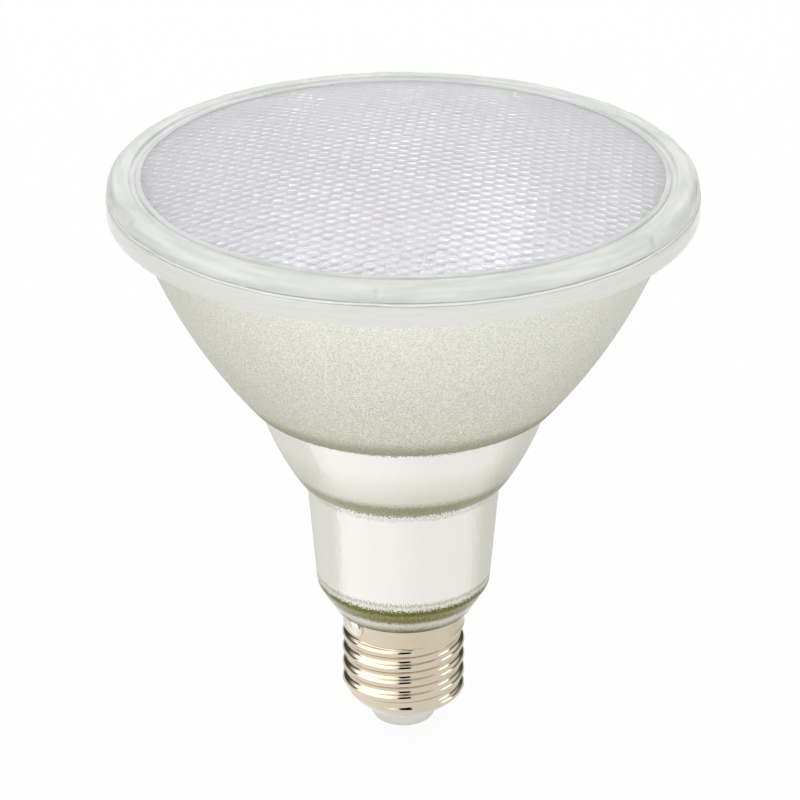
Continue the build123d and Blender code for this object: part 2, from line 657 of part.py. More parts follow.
def inductor_winding():
    """Coil of enamelled wire between the drum's flanges, as its outer form."""
    foot = CORE_FLANGE
    top = CORE_LENGTH - CORE_FLANGE
    coil = upright(CORE_DIAMETER / 2 - WINDING_INSET, foot, top)
    coil = coil - upright(CORE_WAIST_DIAMETER / 2 + FIT_CLEARANCE, foot, top)
    return on_board(coil, FRONT, 0, CORE_ROW_Z)


def varistor():
    """Coated disc on two straight legs."""
    radius = VARISTOR_DIAMETER / 2
    center_z = VARISTOR_STANDOFF + radius
    disc = Pos(0, 0, center_z) * Rot(0, 90, 0) * Cylinder(radius, VARISTOR_THICKNESS)
    leg = upright(VARISTOR_LEG_DIAMETER / 2, 0, center_z)
    legs = [Pos(0, side * radius / 2, 0) * leg for side in (-1, 1)]
    return on_board(disc + legs, FRONT, INPUT_ROW_SPREAD, INPUT_ROW_Z)


def fuse_resistor():
    """Fusible resistor that stands on end, with a cap at each end."""
    radius = FUSE_DIAMETER / 2
    body = upright(radius - FUSE_BODY_INSET, 0, FUSE_LENGTH)
    caps = [upright(radius, 0, FUSE_CAP_LENGTH), upright(radius, FUSE_LENGTH - FUSE_CAP_LENGTH, FUSE_LENGTH)]
    return on_board(body + caps, FRONT, -INPUT_ROW_SPREAD, INPUT_ROW_Z)


def surface_package(width, depth, height, leg_count):
    """Moulded package with flat legs along its two long sides."""
    body = standing_box(width, depth, height)
    pitch = width / leg_count
    leg = standing_box(LEG_WIDTH, depth + 2 * LEG_LENGTH, LEG_THICKNESS)
    legs = [Pos((i - (leg_count - 1) / 2) * pitch, 0, 0) * leg for i in range(leg_count)]
    return body + legs


def bridge_rectifier():
    """Rectifier package with two legs a side."""
    package = surface_package(RECTIFIER_WIDTH, RECTIFIER_DEPTH, RECTIFIER_HEIGHT, 2)
    return on_board(package, BACK, 0, CAPACITOR_ROW_Z)


def driver_chip():
    """Driver package with four legs a side."""
    package = surface_package(CHIP_PACKAGE_WIDTH, CHIP_PACKAGE_DEPTH, CHIP_PACKAGE_HEIGHT, 4)
    return on_board(package, BACK, 0, CORE_ROW_Z)


PIECES = {
    "reflector_body": reflector_body(),
    "front_lens": front_lens(),
    "lens_seal": lens_seal(),
    "screw_shell": screw_shell(),
    "cap_insulator": cap_insulator(),
    "center_contact": center_contact(),
    "cap_cement": cap_cement(),
    "shell_solder": shell_solder(),
    "live_lead": live_lead(),
    "neutral_lead": neutral_lead(),
    "heat_spreader": heat_spreader(),
    "led_board": led_board(),
    "led_chips": led_chips(),
    "board_screws": board_screws(),
    "led_lead_positive": led_lead(1),
    "led_lead_negative": led_lead(-1),
    "driver_housing": driver_housing(),
    "driver_board": driver_board(),
    "bulk_capacitor": bulk_capacitor(),
    "input_capacitor": input_capacitor(),
    "inductor_core": inductor_core(),
    "inductor_winding": inductor_winding(),
    "varistor": varistor(),
    "fuse_resistor": fuse_resistor(),
    "bridge_rectifier": bridge_rectifier(),
    "driver_chip": driver_chip(),
}

os.makedirs("parts", exist_ok=True)
for name, piece in PIECES.items():
    export_step(piece, f"parts/{name}.step")
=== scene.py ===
"""Par spotlight bulb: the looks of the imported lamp.

The axis is Z and the foot of the centre contact is the origin, as in the CAD model. Sizes are written in
millimetres and turned into metres where a mesh is made.
"""
import math

import bpy
import numpy as np
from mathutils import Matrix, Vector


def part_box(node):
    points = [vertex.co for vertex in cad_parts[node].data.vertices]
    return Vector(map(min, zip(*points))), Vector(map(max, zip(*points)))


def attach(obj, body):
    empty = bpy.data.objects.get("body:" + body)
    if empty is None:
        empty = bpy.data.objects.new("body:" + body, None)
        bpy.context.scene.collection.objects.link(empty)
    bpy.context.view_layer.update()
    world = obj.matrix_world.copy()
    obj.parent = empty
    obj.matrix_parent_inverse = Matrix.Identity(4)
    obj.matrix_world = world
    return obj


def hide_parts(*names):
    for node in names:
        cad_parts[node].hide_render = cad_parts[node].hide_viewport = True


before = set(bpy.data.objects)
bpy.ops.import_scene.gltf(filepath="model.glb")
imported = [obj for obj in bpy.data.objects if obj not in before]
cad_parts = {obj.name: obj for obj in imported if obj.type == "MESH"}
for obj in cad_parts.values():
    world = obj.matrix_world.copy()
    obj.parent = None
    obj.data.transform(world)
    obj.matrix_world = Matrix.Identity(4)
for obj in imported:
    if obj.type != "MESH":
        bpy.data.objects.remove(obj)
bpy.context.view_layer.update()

MM = 0.001
TURN = 2 * math.pi


def node_span(node):
    """Lowest and highest corner of a CAD node, in millimetres."""
    low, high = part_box(node)
    return np.array(low) / MM, np.array(high) / MM


GLASS_LOW, GLASS_HIGH = node_span("reflector_body")
LENS_LOW, LENS_HIGH = node_span("front_lens")
SHELL_LOW, SHELL_HIGH = node_span("screw_shell")
INSULATOR_LOW, INSULATOR_HIGH = node_span("cap_insulator")
SEAL_HIGH = node_span("lens_seal")[1]
SOLDER_LOW, SOLDER_HIGH = node_span("shell_solder")

# Heights up the axis, from the cap to the lens
FOOT_Z = INSULATOR_LOW[2]
MOUTH_Z = SHELL_LOW[2]
LIP_Z = SHELL_HIGH[2]
SPIGOT_Z = GLASS_LOW[2]
SEAM_Z = GLASS_HIGH[2]
LENS_Z = LENS_LOW[2]
APEX_Z = LENS_HIGH[2]
TAPER_Z = MOUTH_Z + 2.8
COLLAR_Z = LIP_Z - 5.6
NECK_Z = LIP_Z + 6.2
LOWER_STEP_Z = NECK_Z + 25.0
UPPER_NECK_Z = LOWER_STEP_Z + 0.5
FLANGE_Z = SEAM_Z - 4.6
BOWL_Z = FLANGE_Z - 40.3
UPPER_STEP_Z = BOWL_Z - 0.5
DOME_Z = APEX_Z - 5.4
GROOVE_Z = DOME_Z - 0.4
RIM_Z = GROOVE_Z + 0.8

# Radii of the glass
GLASS_WALL = 2.8
RIM_R = GLASS_HIGH[0]
BOWL_TOP_R = RIM_R - 5.35
BOWL_R = 32.8
UPPER_STEP_R = 30.7
UPPER_NECK_R = 22.4
LOWER_STEP_R = 20.5
NECK_R = 18.4
LIP_R = 14.6
SPIGOT_R = 11.2
BORE_R = 9.2
BOWL_CURVE = 120.6
UPPER_NECK_CURVE = 62.0

# Fillets of the glass and the lens
EDGE_FILLET = 0.3
STEP_FILLET = 0.45
STEP_FOOT_FILLET = 0.9
NECK_FILLET = 3.0
FLANGE_FILLET = 1.3
RIM_FILLET = 2.4

# Radii of the lens
LENS_R = LENS_HIGH[0]
BEAD_R = LENS_R - 4.3
DOME_R = BEAD_R - 1.3
DOME_CURVE = (DOME_R ** 2 + (APEX_Z - DOME_Z) ** 2) / (2 * (APEX_Z - DOME_Z))
DOME_CENTER_Z = APEX_Z - DOME_CURVE
LENS_THICKNESS = 3.0
WINDOW_R = 53.3
WINDOW_EDGE_R = 54.2
WINDOW_SINK = 0.03

# Pebbles of the lens
PEBBLE_PITCH = 2.60
PEBBLE_CURVE = 6.4
PEBBLE_SEED = 7
CURVE_SPREAD = 0.06
TILT_SPREAD = 0.02
SWELL = 0.024
PEBBLE_TURN = math.radians(25)
CELL_POINTS = 12
INNER_RING = 0.6

# Gate marks of the lens, and the part of its rounded edge that they dip into
TICK_ANGLES = np.radians(25 + 60 * np.arange(6))
TICK_DEPTH = 0.60
TICK_WIDTH = 0.009
EDGE_FROM_R = 57.0
EDGE_TO_R = 58.6

# Seam: room left between the two glasses, and the share of the seam's wave that each of them follows
SEAM_ROOM = 0.08
SEAM_SHARE = 0.6
# Height in millimetres, waves in a turn and phase
SEAM_WAVES = ((0.10, 2, 0.6), (0.07, 5, 2.1), (0.05, 9, 4.0))
# Height in millimetres, waves in a turn, shift with each millimetre of radius, and phase
FLOW_WAVES = ((0.05, 13, 0.9, 0.0), (0.04, 29, -1.7, 1.0), (0.03, 53, 2.6, 2.0))
BEAD_SINK = 0.12

# Screw shell
SHELL_WALL = 0.35
MOUTH_R = 9.6
ROOT_R = 12.05
THREAD_R = 13.15
COLLAR_R = 13.0
TAPER_CURVE = 7.0
THREAD_PITCH = 3.629
THREAD_TURNS = 3.57
THREAD_RISE = 0.3
# Turns over which the thread fades in and out, and over which its first lower flank is drawn out by a share
THREAD_START = (-0.42, 0.05)
THREAD_END = (THREAD_TURNS + 0.2, THREAD_TURNS + 0.55)
RUN_OUT_TURNS = (-0.1, 0.4)
RUN_OUT_SHARE = 0.45
# Heights between which the root steps out to the collar, and how far and how deep the lip turns in
COLLAR_STEP = (COLLAR_Z + 0.3, COLLAR_Z + 1.1)
PLAIN_COLLAR_Z = COLLAR_Z + 1.2
LIP_TURN_IN = 0.12
LIP_TURN_DEPTH = 0.3

# Solder drop: half sizes, lean along the collar, turn round it and depth of its middle below the lip
SOLDER_OUT = 1.3
SOLDER_ALONG = 2.8
SOLDER_TALL = 2.6
SOLDER_LEAN = 0.7
SOLDER_TURN = 0.05
SOLDER_DEPTH = 1.5

STEPS_ROUND = 256
THREAD_STEPS = 384

# Usual range of a noise, and the mix node's sockets for two colours and their mix
NOISE_LOW, NOISE_HIGH = 0.3, 0.7
MIX_LOW, MIX_HIGH, MIX_RESULT = 6, 7, 2


# Meshes


def placed(name, data):
    """New object in the scene that holds this data."""
    holder = bpy.data.objects.new(name, data)
    bpy.context.scene.collection.objects.link(holder)
    return holder


def mesh_piece(name, points, faces, node, slot, *finishes):
    """Smooth object from points in millimetres and faces; it stands for a CAD node. The slot argument is not used."""
    mesh = bpy.data.meshes.new(name)
    mesh.from_pydata((points * MM).tolist(), [], faces.tolist())
    mesh.polygons.foreach_set("use_smooth", np.ones(len(mesh.polygons), dtype=bool))
    mesh.update()
    piece = placed(name, mesh)
    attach(piece, "root")
    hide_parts(node)
    for finish in finishes:
        piece.data.materials.append(finish)
    return piece


def ring_faces(rounds, rows):
    """Quads of a grid that closes both round the axis and along its section; point (i, j) is i * rows + j."""
    i, j = np.meshgrid(np.arange(rounds), np.arange(rows), indexing="ij")
    next_i = (i + 1) % rounds
    next_j = (j + 1) % rows
    corners = [i * rows + j, next_i * rows + j, next_i * rows + next_j, i * rows + next_j]
    return np.stack(corners, axis=-1).reshape(-1, 4)


def closed_ball(points, rounds, rows):
    """Points and triangles of a ball's grid whose first and last rows are its poles, each kept as one point."""
    faces = ring_faces(rounds, rows)
    faces = faces[np.arange(len(faces)) % rows < rows - 1]
    row = np.arange(len(points)) % rows
    one_each = np.where(row == 0, 0, np.where(row == rows - 1, rows - 1, np.arange(len(points))))
    used, index = np.unique(one_each, return_inverse=True)
    corners = index.reshape(-1)[faces]
    triangles = np.concatenate([corners[:, [0, 1, 2]], corners[:, [0, 2, 3]]])
    a, b, c = triangles.T
    return points[used], triangles[(a != b) & (b != c) & (c != a)]


def around_axis(radius, height, angle):
    """Cylinder coordinates to points: (r cos a, r sin a, z)."""
    points = np.stack([radius * np.cos(angle), radius * np.sin(angle), height], axis=-1)
    return points.reshape(-1, 3)


def turned_piece(name, radius, height, angle, node, slot, *finishes):
    """Piece from a grid of radius, height and angle that closes both round the axis and along its section."""
    return mesh_piece(name, around_axis(radius, height, angle), ring_faces(*radius.shape), node, slot, *finishes)


def corner_arc(before, corner, after, fillet, count):
    """Points of the arc of radius fillet that touches both sides of a corner of an outline."""
    before, corner, after = (np.array(point[:2], dtype=float) for point in (before, corner, after))
    back = (before - corner) / np.linalg.norm(before - corner)
    ahead = (after - corner) / np.linalg.norm(after - corner)
    half = math.acos(float(np.clip(back @ ahead, -1, 1))) / 2
    middle = back + ahead
    center = corner + middle / np.linalg.norm(middle) * fillet / math.sin(half)
    start = corner + back * fillet / math.tan(half) - center
    end = corner + ahead * fillet / math.tan(half) - center
    sweep = math.atan2(start[0] * end[1] - start[1] * end[0], float(start @ end))
    turn = math.atan2(start[1], start[0]) + sweep * np.linspace(0, 1, count)
    return center + fillet * np.stack([np.cos(turn), np.sin(turn)], axis=1)


def section(corners, arc_points=6):
    """Closed outline from (radius, height, fillet) corners: a corner with a fillet becomes its tangent arc."""
    runs = []
    for k, corner in enumerate(corners):
        before, after = corners[k - 1], corners[(k + 1) % len(corners)]
        if corner[2]:
            runs.append(corner_arc(before, corner, after, corner[2], arc_points))
        else:
            runs.append(np.array([corner[:2]], dtype=float))
    return np.concatenate(runs)


def arc_center(start, end, curve):
    """Centre of an arc between two points of a wall, with curve its radius; it bulges away from the axis."""
    start, end = np.array(start, dtype=float), np.array(end, dtype=float)
    chord = end - start
    length = np.linalg.norm(chord)
    normal = np.array([-chord[1], chord[0]]) / length
    return (start + end) / 2 + normal * math.sqrt(curve ** 2 - length ** 2 / 4)


def arc_radius(center, curve, z):
    """Radius of a wall arc at a height: centre + sqrt(R^2 - z^2), with z from the centre."""
    return center[0] + np.sqrt(curve ** 2 - (z - center[1]) ** 2)


def wall_arc(start, end, curve, count):
    """Points between two ends of a wall arc, and its centre; ends are left out."""
    center = arc_center(start, end, curve)
    z = np.linspace(start[1], end[1], count + 2)[1:-1]
    return [(a, b, 0) for a, b in zip(arc_radius(center, curve, z), z)], center


def straight(start, end, count):
    """Points evenly spaced between two ends of a straight wall; ends are left out."""
    t = np.linspace(0, 1, count + 2)[1:-1]
    return [(start[0] + (end[0] - start[0]) * k, start[1] + (end[1] - start[1]) * k, 0) for k in t]


def dome_height(radius, inset=0.0):
    """Height of the lens's sphere at a radius, moved inwards by inset: centre + sqrt(R^2 - r^2)."""
    return DOME_CENTER_Z + np.sqrt((DOME_CURVE - inset) ** 2 - radius ** 2)


def seam_wave(angle):
    """Slow rise and fall of the hand-set seam round the rim, in millimetres: a few sines of whole turns."""
    return sum(high * np.sin(count * angle + phase) for high, count, phase in SEAM_WAVES)


def flow_wave(angle, radius):
    """Shallow waves left in the pressed rim, in millimetres: sines of whole turns that shift with the radius."""
    return sum(high * np.sin(count * angle + shift * radius + phase) for high, count, shift, phase in FLOW_WAVES)


def tick_dip(angle, width):
    """Sum of six bell curves of a given angular width, one at each gate mark of the pressed lens."""
    away = np.angle(np.exp(1j * (angle[..., None] - TICK_ANGLES)))
    return np.exp(-(away / width) ** 2).sum(axis=-1)


def smooth_step(value, low, high):
    """Zero below low, one above high and 3t^2 - 2t^3 between them."""
    t = np.clip((value - low) / (high - low), 0, 1)
    return t * t * (3 - 2 * t)


def turned_grid(outline, rounds=STEPS_ROUND):
    """Arrays of radius, height and angle of an outline carried once round the axis."""
    angle = np.arange(rounds)[:, None] * TURN / rounds
    radius, height, angle = np.broadcast_arrays(outline[None, :, 0], outline[None, :, 1], angle)
    return radius.copy(), height.copy(), angle.copy()


def reflector_glass():
    """Pressed glass from spigot to flange: its section, with steps and fillets, carried round the axis.

    The flange's top follows the seam's wave, fading out down the flange."""
    neck_ends = (UPPER_NECK_R, UPPER_NECK_Z), (UPPER_STEP_R, UPPER_STEP_Z)
    neck_arc, neck_center = wall_arc(*neck_ends, UPPER_NECK_CURVE, 11)
    bowl_arc, bowl_center = wall_arc((BOWL_R, BOWL_Z), (BOWL_TOP_R, FLANGE_Z), BOWL_CURVE, 22)
    upper_ledge_z, lower_ledge_z = UPPER_STEP_Z + GLASS_WALL, LOWER_STEP_Z + GLASS_WALL
    clear = 1.5

    def in_bowl(z, fillet=0.0):
        return arc_radius(bowl_center, BOWL_CURVE - GLASS_WALL, z), z, fillet

    def in_neck(z, fillet=0.0):
        return arc_radius(neck_center, UPPER_NECK_CURVE - GLASS_WALL, z), z, fillet

    outline = section(
        [(BORE_R, SPIGOT_Z, EDGE_FILLET), (SPIGOT_R, SPIGOT_Z, EDGE_FILLET)]
        + [(SPIGOT_R, LIP_Z, 0.2), (LIP_R, LIP_Z, 0.4)]
        + straight((LIP_R, LIP_Z), (NECK_R, NECK_Z), 2)
        + [(NECK_R, NECK_Z, NECK_FILLET)]
        + straight((NECK_R, NECK_Z), (LOWER_STEP_R, LOWER_STEP_Z), 7)
        + [(LOWER_STEP_R, LOWER_STEP_Z, STEP_FILLET), (UPPER_NECK_R, UPPER_NECK_Z, STEP_FOOT_FILLET)]
        + neck_arc
        + [(UPPER_STEP_R, UPPER_STEP_Z, STEP_FILLET), (BOWL_R, BOWL_Z, STEP_FOOT_FILLET)]
        + bowl_arc
        + [(BOWL_TOP_R, FLANGE_Z, 0.5), (RIM_R, FLANGE_Z, FLANGE_FILLET)]
        + straight((RIM_R, FLANGE_Z + 1), (RIM_R, SEAM_Z - 0.5), 3)
        + [(RIM_R, SEAM_Z, 0.4), in_bowl(SEAM_Z, 0.4)]
        + [in_bowl(z) for z in np.linspace(SEAM_Z - clear, upper_ledge_z + clear, 22)]
        + [in_bowl(upper_ledge_z, EDGE_FILLET), in_neck(upper_ledge_z, EDGE_FILLET)]
        + [in_neck(z) for z in np.linspace(upper_ledge_z - clear, lower_ledge_z + clear, 10)]
        + [in_neck(lower_ledge_z, EDGE_FILLET), (LOWER_STEP_R - GLASS_WALL, lower_ledge_z, EDGE_FILLET)]
        + [(NECK_R - GLASS_WALL, NECK_Z + GLASS_WALL, EDGE_FILLET), (BORE_R, LIP_Z + GLASS_WALL, EDGE_FILLET)]
    )
    radius, height, angle = turned_grid(outline)
    fade = smooth_step(height, FLANGE_Z + 2.0, SEAM_Z)
    height -= fade * (SEAM_ROOM - SEAM_SHARE * seam_wave(angle))
    finishes = frosted_bowl(), silvered_neck(), flange_glass(), mirror_coat()
    piece = turned_piece("reflector_glass", radius, height, angle, "reflector_body", "reflector_glass", *finishes)
    frosted, silvered, flange, mirror = range(len(finishes))
    face_r, face_z = np.tile(outline.T, STEPS_ROUND)
    kind = np.where(face_z > BOWL_Z - 0.25, frosted, silvered)
    kind = np.where((face_z > FLANGE_Z - 0.3) & (face_r >= BOWL_TOP_R + 0.2), flange, kind)
    rows = np.arange(len(outline))
    on_rim_top = (outline[:, 1] >= SEAM_Z - 1e-6) & (outline[:, 0] > RIM_R - 1)
    inner = np.tile(rows > rows[on_rim_top].max(), STEPS_ROUND)
    kind = np.where(inner, mirror, kind).astype(np.int32)
    piece.data.polygons.foreach_set("material_index", kind)


def pebble_cells():
    """Centres of the six-sided cells that start inside the window: whole steps along two lattice directions."""
    reach = int(WINDOW_R / PEBBLE_PITCH) + 6
    a, b = np.meshgrid(np.arange(-2 * reach, 2 * reach), np.arange(-2 * reach, 2 * reach), indexing="ij")
    along = np.array([math.cos(PEBBLE_TURN), math.sin(PEBBLE_TURN)])
    across = np.array([math.cos(PEBBLE_TURN + TURN / 6), math.sin(PEBBLE_TURN + TURN / 6)])
    centers = PEBBLE_PITCH * (a[..., None] * along + b[..., None] * across)
    centers = centers.reshape(-1, 2)
    return centers[np.hypot(centers[:, 0], centers[:, 1]) < WINDOW_R + PEBBLE_PITCH / 2]


def pebbled_window():
    """Domed window with a round pebble under each six-sided cell and a faint swell above it.

    A cell has its centre, a ring part of the way out and twelve edge points. Underneath, height is the inner dome
    plus q^2 / 2R, with q the distance from the cell's centre and R the pebble's curve, which differs a little from
    cell to cell, as does a slight tilt. Above, the outer dome dips at the cells' edges. Points on shared edges are
    merged, and the cells' edges are marked sharp."""
    centers = pebble_cells()
    count = len(centers)
    dice = np.random.default_rng(PEBBLE_SEED)
    curve = PEBBLE_CURVE * (1 + CURVE_SPREAD * dice.standard_normal((count, 1)))
    tilt = TILT_SPREAD * dice.standard_normal((count, 1, 2))
    k = np.arange(CELL_POINTS)
    after = (k + 1) % CELL_POINTS
    middle, ring, rim = np.zeros(CELL_POINTS, int), 1 + k, 1 + CELL_POINTS + k
    next_ring, next_rim = ring[after], rim[after]
    turn = PEBBLE_TURN + TURN / CELL_POINTS * k
    edge_reach = np.where(k % 2 == 0, PEBBLE_PITCH / 2, PEBBLE_PITCH / math.sqrt(3))
    edge = np.stack([np.cos(turn), np.sin(turn)], axis=1) * edge_reach[:, None]
    local = np.concatenate([np.zeros((1, 2)), INNER_RING * edge, edge])
    plan = centers[:, None, :] + local[None]
    rise = (local ** 2).sum(axis=1)[None] / (2 * curve) + (tilt * local[None]).sum(axis=2)
    spots, index = np.unique(np.round(plan.reshape(-1, 2), 3), axis=0, return_inverse=True)
    index = index.reshape(-1)
    rise = np.bincount(index, weights=rise.ravel()) / np.bincount(index)
    index = index.reshape(count, len(local))
    edge_spots = index[:, rim].ravel()
    dip = np.zeros(len(spots))
    dip[edge_spots] = SWELL
    radius = np.hypot(spots[:, 0], spots[:, 1])
    spots = spots * np.minimum(1, WINDOW_EDGE_R / np.maximum(radius, 1))[:, None]
    radius = np.minimum(radius, WINDOW_EDGE_R)
    low = np.column_stack([spots, dome_height(radius, LENS_THICKNESS) + rise])
    high = np.column_stack([spots, dome_height(radius) - WINDOW_SINK - dip])
    fan = np.stack([middle, next_ring, ring], axis=1)
    ring_a = np.stack([ring, next_rim, rim], axis=1)
    ring_b = np.stack([ring, next_ring, next_rim], axis=1)
    under = index[:, np.concatenate([fan, ring_a, ring_b])].reshape(-1, 3)
    top = index[:, np.stack([middle, rim, next_rim], axis=1)].reshape(-1, 3)
    used, back = np.unique(top, return_inverse=True)
    top = back.reshape(-1, 3) + len(spots)
    high_of = np.full(len(spots), -1)
    high_of[used] = len(spots) + np.arange(len(used))
    a, b = border_edges(under).T
    side = np.concatenate([np.stack([b, a, high_of[a]], axis=1), np.stack([b, high_of[a], high_of[b]], axis=1)])
    piece = mesh_piece("lens_window", np.concatenate([low, high[used]]), np.concatenate([under, top, side]),
                       "front_lens", "lens_glass", pebbled_glass())
    on_edge = np.zeros(len(spots) + len(used), dtype=bool)
    on_edge[edge_spots] = True
    on_edge[high_of[edge_spots]] = True
    ends = np.zeros(2 * len(piece.data.edges), dtype=np.int32)
    piece.data.edges.foreach_get("vertices", ends)
    sharp = piece.data.attributes.new("sharp_edge", "BOOLEAN", "EDGE")
    sharp.data.foreach_set("value", on_edge[ends.reshape(-1, 2)].all(axis=1))


def border_edges(triangles):
    """Directed edges of a triangle patch that only one triangle has."""
    edges = triangles[:, [0, 1, 1, 2, 2, 0]].reshape(-1, 2)
    low_first = np.sort(edges, axis=1)
    _, first, tally = np.unique(low_first, axis=0, return_index=True, return_counts=True)
    return edges[first[tally == 1]]


def lens_rim():
    """Shoulder, groove, bead and rounded edge of the lens: its section carried round the axis.

    Six gate marks dip into the rounded edge, the foot follows the seam's wave, and the bead is a little uneven."""
    hollow_r = math.sqrt((DOME_CURVE - LENS_THICKNESS) ** 2 - (LENS_Z - DOME_CENTER_Z) ** 2)
    shoulder = [(r, float(dome_height(r)), 0) for r in np.linspace(DOME_R - 0.3, WINDOW_R + 0.1, 4)]
    soft_groove_z = GROOVE_Z + 0.15
    outline = section(
        [(WINDOW_R, float(dome_height(WINDOW_R, LENS_THICKNESS)), 0), (hollow_r, LENS_Z, 0.2)]
        + straight((hollow_r, LENS_Z), (LENS_R, LENS_Z), 3)
        + [(LENS_R, LENS_Z, 0.5), (LENS_R, RIM_Z, RIM_FILLET)]
        + straight((LENS_R - RIM_FILLET, RIM_Z), (BEAD_R + 0.3, RIM_Z), 4)
        + [(BEAD_R, RIM_Z, 0.5), (BEAD_R - 0.5, soft_groove_z, 0.35)]
        + [(DOME_R, soft_groove_z, 0.25), (DOME_R - 0.2, DOME_Z, 0.3)]
        + shoulder
        + [(WINDOW_R, float(dome_height(WINDOW_R)) - 0.05, 0)],
        arc_points=9,
    )
    radius, height, angle = turned_grid(outline, 2 * STEPS_ROUND)
    top = height - LENS_Z
    on_edge = smooth_step(radius, EDGE_FROM_R, EDGE_TO_R)
    on_edge = on_edge * smooth_step(top, 0.8, 1.6) * (1 - smooth_step(top, 2.5, 3.0))
    on_bead = smooth_step(radius, BEAD_R, BEAD_R + 1.2) * smooth_step(top, 1.0, 3.0)
    radius -= TICK_DEPTH * on_edge * tick_dip(angle, TICK_WIDTH)
    height -= on_bead * (BEAD_SINK + flow_wave(angle, radius))
    foot = 1 - smooth_step(top, 0.0, 1.2)
    lift = foot * (SEAM_ROOM + SEAM_SHARE * seam_wave(angle))
    height += lift * smooth_step(radius, hollow_r + 1, LENS_R - 1)
    turned_piece("lens_rim", radius, height, angle, "front_lens", "lens_glass", rim_glass())


def seam_bead():
    """Adhesive in the seam: a rounded strip carried round the axis.

    Its outer edge is uneven and draws back at the gate marks, and its height follows the seam's wave."""
    waver, notch, notch_width = 0.12, 0.15, 0.02
    inner_r, outer_r = SEAL_HIGH[0] - 5.0, RIM_R - 0.3
    outline = section([
        (inner_r, SEAM_Z - 0.1, 0.1), (outer_r, SEAM_Z - 0.1, 0.25),
        (outer_r, LENS_Z + 0.1, 0.25), (inner_r, LENS_Z + 0.1, 0.1),
    ])
    radius, height, angle = turned_grid(outline, 2 * STEPS_ROUND)
    outward = smooth_step(radius, inner_r, outer_r)
    uneven = waver * np.sin(23 * angle) * np.sin(7 * angle + 1)
    radius += outward * (uneven - notch * tick_dip(angle, notch_width))
    height += outward * seam_wave(angle)
    turned_piece("seam_bead", radius, height, angle, "lens_seal", "seam_adhesive", seam_adhesive())


def rolled_shell():
    """Rolled screw shell: radius as a function of angle and height, with the wall's thickness inside it.

    The plain form is the taper's arc, the root and the collar. On it, the thread adds a crest arc within a quarter
    of a pitch of the nearest crest and a root arc beyond it, both of one radius and tangent where they meet, faded
    in and out over part of a turn at its two ends. The inside, which is filled, follows the plain form."""
    z = np.concatenate([np.linspace(MOUTH_Z, TAPER_Z, 14), np.linspace(TAPER_Z, PLAIN_COLLAR_Z, 160)[1:],
                        np.linspace(PLAIN_COLLAR_Z, LIP_Z, 14)[1:]])
    angle = np.arange(THREAD_STEPS)[:, None] * TURN / THREAD_STEPS
    z, angle = np.broadcast_arrays(z[None], angle)
    center = arc_center((MOUTH_R, MOUTH_Z), (ROOT_R, TAPER_Z), TAPER_CURVE)
    taper = arc_radius(center, TAPER_CURVE, np.minimum(z, TAPER_Z))
    plain = taper + (COLLAR_R - ROOT_R) * smooth_step(z, *COLLAR_STEP)
    climb = (z - TAPER_Z - THREAD_RISE) / THREAD_PITCH
    turns = angle / TURN
    crest = np.maximum(np.round(climb - turns), np.where(turns > 0.5, -1, 0)) + turns
    start = smooth_step(crest, *THREAD_START)
    end = 1 - smooth_step(crest, *THREAD_END)
    depth, quarter = THREAD_R - ROOT_R, THREAD_PITCH / 4
    arc = (depth ** 2 / 4 + quarter ** 2) / depth
    drawn_out = RUN_OUT_SHARE * (1 - smooth_step(crest, *RUN_OUT_TURNS))
    run_out = np.where(climb < crest, 1 - drawn_out, 1)
    away = THREAD_PITCH * run_out * np.abs(climb - crest)
    from_crest, from_root = np.minimum(away, quarter), np.clip(2 * quarter - away, 0, quarter)
    on_crest = depth - arc + np.sqrt(arc ** 2 - from_crest ** 2)
    on_root = arc - np.sqrt(arc ** 2 - from_root ** 2)
    ridge = start * end * np.where(away < quarter, on_crest, on_root)
    outer = np.maximum(plain, np.minimum(plain + ridge, THREAD_R))
    lip = LIP_TURN_IN * smooth_step(z, LIP_Z - LIP_TURN_DEPTH, LIP_Z)
    inside = slice(None, None, -6)
    radius = np.concatenate([outer - lip, plain[:, inside] - SHELL_WALL], axis=1)
    height = np.concatenate([z, z[:, inside]], axis=1)
    angle = np.broadcast_to(angle[:, :1], radius.shape)
    turned_piece("rolled_shell", radius, height, angle, "screw_shell", "nickel_plate", nickel_plate())


def insulator_foot():
    """White insulator: its section, foot, cone and the body inside the shell, carried round the axis."""
    hole_r, foot_r, mouth_r, taper_r, body_r = 1.85, 6.2, 8.8, 11.4, 11.5
    body_z = INSULATOR_HIGH[2]
    outline = section([
        (hole_r, FOOT_Z, 0.25), (foot_r, FOOT_Z, 1.2), (mouth_r, MOUTH_Z + 0.05, 0.2), (taper_r, TAPER_Z, 0.6),
        (body_r, body_z, 0.3), (hole_r, body_z, 0.25),
    ], arc_points=8)
    grid = turned_grid(outline, 96)
    turned_piece("insulator_foot", *grid, "cap_insulator", "white_insulator", insulator_white())


